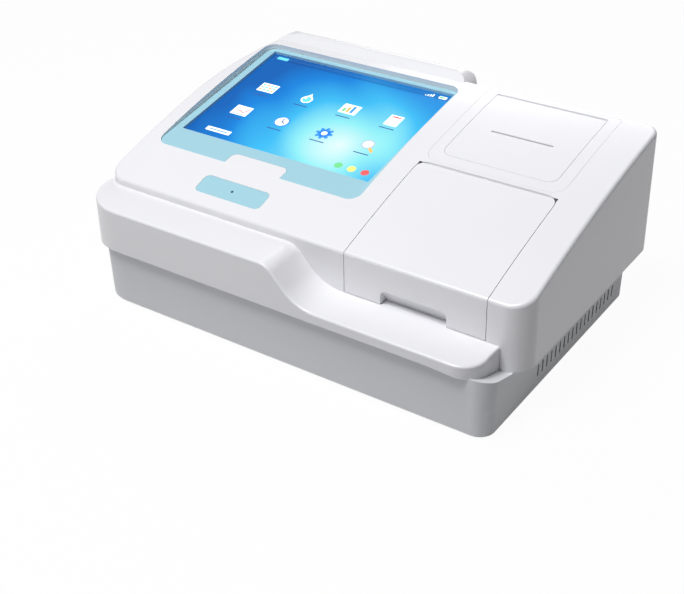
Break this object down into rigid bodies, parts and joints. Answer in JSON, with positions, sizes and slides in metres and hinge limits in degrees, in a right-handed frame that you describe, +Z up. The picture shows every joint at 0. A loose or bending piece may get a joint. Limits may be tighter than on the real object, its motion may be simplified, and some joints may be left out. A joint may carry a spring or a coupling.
{
  "type": "microplate reader",
  "caption": "Bench microplate reader with sloping touch screen, hinged plate lid over a sliding carrier, thermal printer and filter wheel optics",
  "frame": {"origin": "on the bench under the middle of the casing, at the underside of the rubber feet", "axes": "+Z up, front toward -Y, +X to the right of a user at the front"},
  "size_m": [0.46, 0.3256, 0.1808],
  "materials": {
    "white_shell": "satin",
    "base_shell": "satin",
    "blue_trim": "gloss",
    "screen_glass": "gloss",
    "black_plastic": "matte",
    "grey_plastic": "matte",
    "steel": "brushed",
    "rod_steel": "polished",
    "aluminium": "satin",
    "black_metal": "matte",
    "brass": "satin",
    "rubber": "matte",
    "paper": "matte",
    "clear_glass": "clear",
    "board": "satin",
    "led": "gloss"
  },
  "bodies": {
    "base": {"base_housing": "base_shell", "top_cover": "white_shell", "front_fascia": "white_shell", "rubber_feet": "rubber", "lid_hinge_pins": "rod_steel", "screen_bezel": "blue_trim", "touch_glass": "screen_glass", "display_module": "grey_plastic", "display_bracket": "steel", "status_badge": "blue_trim", "status_light": "led", "printer_frame": "white_shell", "door_hinge_pins": "rod_steel", "printer_tub": "black_plastic", "feed_motor": "steel", "print_head": "black_plastic", "chassis_plate": "steel", "chassis_posts": "aluminium", "chassis_screws": "steel", "chamber_liner": "black_plastic", "guide_rods": "rod_steel", "rod_blocks": "aluminium", "drive_belt": "rubber", "idler_bracket": "steel", "carriage_motor": "black_metal", "optics_bridge": "black_metal", "lens_barrels": "brass", "fibre_manifold": "black_plastic", "fibre_bundle": "black_plastic", "detector_bar": "black_plastic", "filter_housing": "aluminium", "filter_motor": "black_metal", "condenser_lens": "clear_glass", "lamp_housing": "aluminium", "halogen_lamp": "clear_glass", "main_board": "board", "power_supply": "steel", "fan_frame": "black_plastic", "rear_panel": "steel", "power_inlet": "black_plastic", "switch_frame": "black_plastic", "usb_ports": "steel", "serial_port": "steel"},
    "lid": {"plate_lid": "white_shell"},
    "door": {"printer_door": "white_shell"},
    "roll": {"paper_roll": "paper"},
    "platen": {"platen_roller": "rubber", "platen_gear": "grey_plastic"},
    "feed": {"feed_gear": "brass"},
    "carrier": {"plate_carrier": "black_metal", "carrier_bushes": "brass", "belt_clamp": "aluminium"},
    "drive": {"motor_pulley": "aluminium"},
    "idler": {"idler_pulley": "aluminium"},
    "wheel": {"filter_wheel": "black_metal", "colour_filters": "clear_glass"},
    "fan": {"fan_rotor": "black_plastic"},
    "rocker": {"power_rocker": "black_plastic"}
  },
  "joints": [
    {"name": "lid_hinge", "type": "hinge", "parent": "base", "child": "lid", "pos_m": [0.1228, 0.00455, 0.14538], "axis": [-1, 0, 0], "range_deg": [0, 75]},
    {"name": "door_hinge", "type": "hinge", "parent": "base", "child": "door", "pos_m": [0.1228, 0.13025, 0.16881], "axis": [-1, 0, 0], "range_deg": [0, 80]},
    {"name": "roll_spin", "type": "hinge", "parent": "base", "child": "roll", "pos_m": [0.1228, 0.10875, 0.14006], "axis": [1, 0, 0], "continuous": true},
    {"name": "platen_spin", "type": "hinge", "parent": "base", "child": "platen", "pos_m": [0.1228, 0.07975, 0.15119], "axis": [1, 0, 0], "continuous": true},
    {"name": "feed_spin", "type": "hinge", "parent": "base", "child": "feed", "pos_m": [0.07305, 0.07975, 0.13889], "axis": [1, 0, 0], "continuous": true},
    {"name": "carrier_slide", "type": "slide", "parent": "base", "child": "carrier", "axis": [0, 1, 0], "range_m": [0, 0.12]},
    {"name": "motor_pulley_spin", "type": "hinge", "parent": "base", "child": "drive", "pos_m": [0.0419, 0.1169, 0.0638], "axis": [-1, 0, 0], "range_deg": [0, 1016.4]},
    {"name": "idler_pulley_spin", "type": "hinge", "parent": "base", "child": "idler", "pos_m": [0.0419, -0.1036, 0.0638], "axis": [-1, 0, 0], "range_deg": [0, 1016.4]},
    {"name": "filter_wheel_spin", "type": "hinge", "parent": "base", "child": "wheel", "pos_m": [-0.115, 0.02715, 0.0895], "axis": [1, 0, 0], "continuous": true},
    {"name": "fan_spin", "type": "hinge", "parent": "base", "child": "fan", "pos_m": [0.208, 0.01265, 0.026], "axis": [1, 0, 0], "continuous": true},
    {"name": "power_rocker_tilt", "type": "hinge", "parent": "base", "child": "rocker", "pos_m": [0.063, 0.12415, 0.026], "axis": [1, 0, 0], "range_deg": [0, 18]}
  ],
  "couplings": [
    {"joint": "motor_pulley_spin", "follows": "carrier_slide", "rad_per_m": 144.93},
    {"joint": "idler_pulley_spin", "follows": "carrier_slide", "rad_per_m": 144.93},
    {"joint": "feed_spin", "follows": "platen_spin", "ratio": -2}
  ]
}
